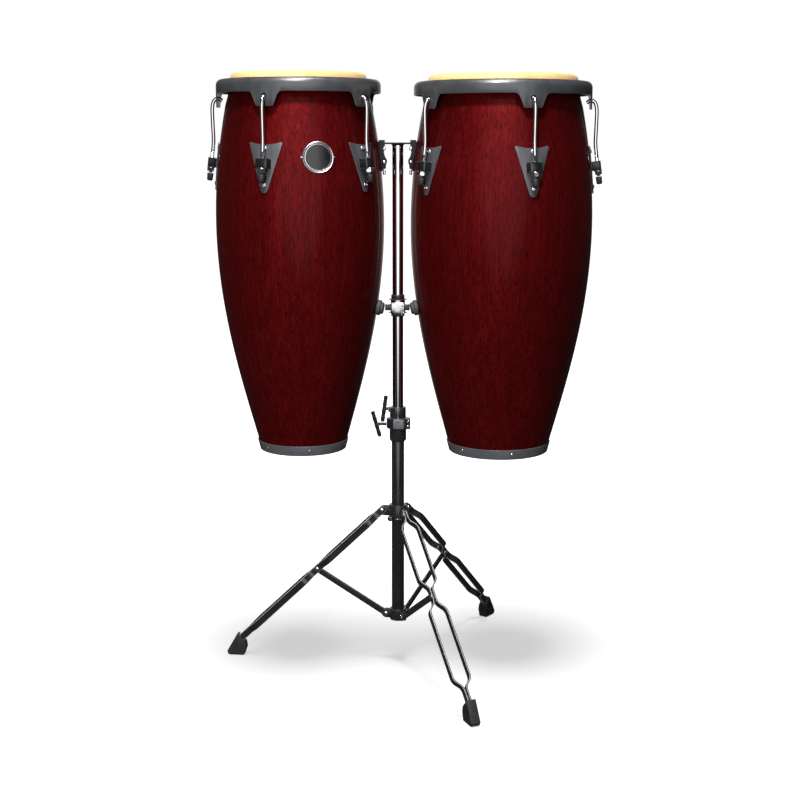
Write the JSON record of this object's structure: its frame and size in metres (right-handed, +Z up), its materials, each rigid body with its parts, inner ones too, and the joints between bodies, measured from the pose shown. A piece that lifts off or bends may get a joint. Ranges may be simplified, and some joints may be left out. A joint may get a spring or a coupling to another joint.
{
  "type": "pair of conga drums on a stand",
  "caption": "Tall tapered wooden hand drums with skin heads, black rims and hook lugs, hung side by side on a height-adjustable folding tripod stand.",
  "frame": {"origin": "on the floor, below the middle of the bounding box", "axes": "+Z up, -Y towards the player, +X towards the larger drum"},
  "size_m": [0.7546, 0.6156, 1.1668],
  "materials": {
    "shell_lacquer": "deep glossy red-brown lacquer over vertical wood staves",
    "ring_black": "gloss black",
    "skin": "cream rawhide, matt",
    "rim_black": "satin black powder coat",
    "plate_black": "satin black powder coat",
    "rod_chrome": "mirror chrome",
    "nut_chrome": "bright chrome",
    "post_chrome": "mirror chrome",
    "clamp_chrome": "bright chrome",
    "bracket_black": "black coated casting",
    "tube_black": "gloss black paint",
    "clamp_black": "satin black",
    "t_bolt_black": "satin black",
    "strap_black": "satin black paint on flat steel",
    "bumper_rubber": "dark grey rubber",
    "foot_rubber": "black moulded rubber"
  },
  "bodies": {
    "left_drum": {"left_shell": "shell_lacquer", "left_bottom_ring": "ring_black", "left_head": "skin", "left_rim": "rim_black", "left_bracket": "bracket_black", "left_side_plate_1": "plate_black", "left_hook_rod_1": "rod_chrome", "left_side_plate_2": "plate_black", "left_hook_rod_2": "rod_chrome", "left_side_plate_3": "plate_black", "left_hook_rod_3": "rod_chrome", "left_side_plate_4": "plate_black", "left_hook_rod_4": "rod_chrome", "left_side_plate_5": "plate_black", "left_hook_rod_5": "rod_chrome"},
    "left_nut_1": {"left_tuning_nut_1": "nut_chrome"},
    "left_nut_2": {"left_tuning_nut_2": "nut_chrome"},
    "left_nut_3": {"left_tuning_nut_3": "nut_chrome"},
    "left_nut_4": {"left_tuning_nut_4": "nut_chrome"},
    "left_nut_5": {"left_tuning_nut_5": "nut_chrome"},
    "right_drum": {"right_shell": "shell_lacquer", "right_bottom_ring": "ring_black", "right_head": "skin", "right_rim": "rim_black", "right_bracket": "bracket_black", "right_side_plate_1": "plate_black", "right_hook_rod_1": "rod_chrome", "right_side_plate_2": "plate_black", "right_hook_rod_2": "rod_chrome", "right_side_plate_3": "plate_black", "right_hook_rod_3": "rod_chrome", "right_side_plate_4": "plate_black", "right_hook_rod_4": "rod_chrome", "right_side_plate_5": "plate_black", "right_hook_rod_5": "rod_chrome"},
    "right_nut_1": {"right_tuning_nut_1": "nut_chrome"},
    "right_nut_2": {"right_tuning_nut_2": "nut_chrome"},
    "right_nut_3": {"right_tuning_nut_3": "nut_chrome"},
    "right_nut_4": {"right_tuning_nut_4": "nut_chrome"},
    "right_nut_5": {"right_tuning_nut_5": "nut_chrome"},
    "stand_base": {"lower_tube": "tube_black", "lower_hub": "clamp_black", "height_clamp": "clamp_black"},
    "post": {"upper_post": "post_chrome"},
    "lock": {"memory_lock": "clamp_black"},
    "support": {"support_clamp": "clamp_chrome", "left_bumper": "bumper_rubber", "right_bumper": "bumper_rubber"},
    "collar": {"leg_collar": "clamp_black"},
    "lock_bolt": {"memory_lock_t_bolt": "t_bolt_black"},
    "clamp_bolt": {"height_clamp_t_bolt": "t_bolt_black"},
    "leg_1_body": {"leg_1": "strap_black", "foot_1": "foot_rubber"},
    "brace_1_body": {"brace_1": "strap_black"},
    "leg_2_body": {"leg_2": "strap_black", "foot_2": "foot_rubber"},
    "brace_2_body": {"brace_2": "strap_black"},
    "leg_3_body": {"leg_3": "strap_black", "foot_3": "foot_rubber"},
    "brace_3_body": {"brace_3": "strap_black"}
  },
  "joints": [
    {"name": "left_drum_lift", "type": "slide", "parent": "post", "child": "left_drum", "axis": [0, 0, 1], "range_m": [0, 0.011]},
    {"name": "left_nut_1_turn", "type": "hinge", "parent": "left_drum", "child": "left_nut_1", "pos_m": [-0.25278, -0.14075, 1.00175], "axis": [0.0435, 0.1248, 0.9912], "continuous": true},
    {"name": "left_nut_2_turn", "type": "hinge", "parent": "left_drum", "child": "left_nut_2", "pos_m": [-0.0636, -0.08363, 1.00175], "axis": [-0.1052, 0.0799, 0.9912], "continuous": true},
    {"name": "left_nut_3_turn", "type": "hinge", "parent": "left_drum", "child": "left_nut_3", "pos_m": [-0.05946, 0.11394, 1.00175], "axis": [-0.1085, -0.0754, 0.9912], "continuous": true},
    {"name": "left_nut_4_turn", "type": "hinge", "parent": "left_drum", "child": "left_nut_4", "pos_m": [-0.24609, 0.17893, 1.00175], "axis": [0.0382, -0.1265, 0.9912], "continuous": true},
    {"name": "left_nut_5_turn", "type": "hinge", "parent": "left_drum", "child": "left_nut_5", "pos_m": [-0.36556, 0.02152, 1.00175], "axis": [0.1321, -0.0028, 0.9912], "continuous": true},
    {"name": "right_drum_lift", "type": "slide", "parent": "post", "child": "right_drum", "axis": [0, 0, 1], "range_m": [0, 0.011]},
    {"name": "right_nut_1_turn", "type": "hinge", "parent": "right_drum", "child": "right_nut_1", "pos_m": [0.23469, -0.15688, 0.99525], "axis": [-0.0344, 0.1276, 0.9912], "continuous": true},
    {"name": "right_nut_2_turn", "type": "hinge", "parent": "right_drum", "child": "right_nut_2", "pos_m": [0.03576, -0.08092, 0.99525], "axis": [0.1107, 0.0722, 0.9912], "continuous": true},
    {"name": "right_nut_3_turn", "type": "hinge", "parent": "right_drum", "child": "right_nut_3", "pos_m": [0.04653, 0.13175, 0.99525], "axis": [0.1028, -0.083, 0.9912], "continuous": true},
    {"name": "right_nut_4_turn", "type": "hinge", "parent": "right_drum", "child": "right_nut_4", "pos_m": [0.25212, 0.18721, 0.99525], "axis": [-0.0471, -0.1234, 0.9912], "continuous": true},
    {"name": "right_nut_5_turn", "type": "hinge", "parent": "right_drum", "child": "right_nut_5", "pos_m": [0.3684, 0.00884, 0.99525], "axis": [-0.132, 0.0067, 0.9912], "continuous": true},
    {"name": "post_height", "type": "slide", "parent": "stand_base", "child": "post", "axis": [0, 0, 1], "range_m": [0, 0.1]},
    {"name": "support_height", "type": "slide", "parent": "post", "child": "support", "axis": [0, 0, 1], "range_m": [-0.12, 0]},
    {"name": "memory_lock_slide", "type": "slide", "parent": "post", "child": "lock", "axis": [0, 0, 1], "range_m": [0, 0.05]},
    {"name": "lock_bolt_turn", "type": "hinge", "parent": "lock", "child": "lock_bolt", "pos_m": [-0.0298, 0.018, 0.5232], "axis": [1, 0, 0], "range_deg": [-90, 90]},
    {"name": "clamp_bolt_turn", "type": "hinge", "parent": "stand_base", "child": "clamp_bolt", "pos_m": [-0.0333, 0.018, 0.4925], "axis": [1, 0, 0], "range_deg": [-90, 90]},
    {"name": "leg_collar_slide", "type": "slide", "parent": "stand_base", "child": "collar", "axis": [0, 0, 1], "range_m": [0, 0.122]},
    {"name": "leg_1_fold", "type": "hinge", "parent": "collar", "child": "leg_1_body", "pos_m": [0.00267, -0.01171, 0.316], "axis": [0.9143, 0.4051, 0], "range_deg": [0, 33.26]},
    {"name": "brace_1_fold", "type": "hinge", "parent": "stand_base", "child": "brace_1_body", "pos_m": [-0.00057, -0.0044, 0.1002], "axis": [-0.9143, -0.4051, 0], "range_deg": [0, 40.66]},
    {"name": "leg_2_fold", "type": "hinge", "parent": "collar", "child": "leg_2_body", "pos_m": [0.00865, 0.04426, 0.316], "axis": [-0.808, 0.5892, 0], "range_deg": [0, 33.26]},
    {"name": "brace_2_fold", "type": "hinge", "parent": "stand_base", "child": "brace_2_body", "pos_m": [0.00394, 0.0378, 0.1002], "axis": [0.808, -0.5892, 0], "range_deg": [0, 40.66]},
    {"name": "leg_3_fold", "type": "hinge", "parent": "collar", "child": "leg_3_body", "pos_m": [-0.04282, 0.02145, 0.316], "axis": [-0.1063, -0.9943, 0], "range_deg": [0, 33.26]},
    {"name": "brace_3_fold", "type": "hinge", "parent": "stand_base", "child": "brace_3_body", "pos_m": [-0.03486, 0.0206, 0.1002], "axis": [0.1063, 0.9943, 0], "range_deg": [0, 40.66]}
  ],
  "couplings": [
    {"joint": "leg_1_fold", "follows": "leg_collar_slide", "rad_per_m": 4.7555},
    {"joint": "brace_1_fold", "follows": "leg_collar_slide", "rad_per_m": 5.8141},
    {"joint": "leg_2_fold", "follows": "leg_collar_slide", "rad_per_m": 4.7555},
    {"joint": "brace_2_fold", "follows": "leg_collar_slide", "rad_per_m": 5.8141},
    {"joint": "leg_3_fold", "follows": "leg_collar_slide", "rad_per_m": 4.7555},
    {"joint": "brace_3_fold", "follows": "leg_collar_slide", "rad_per_m": 5.8141}
  ]
}
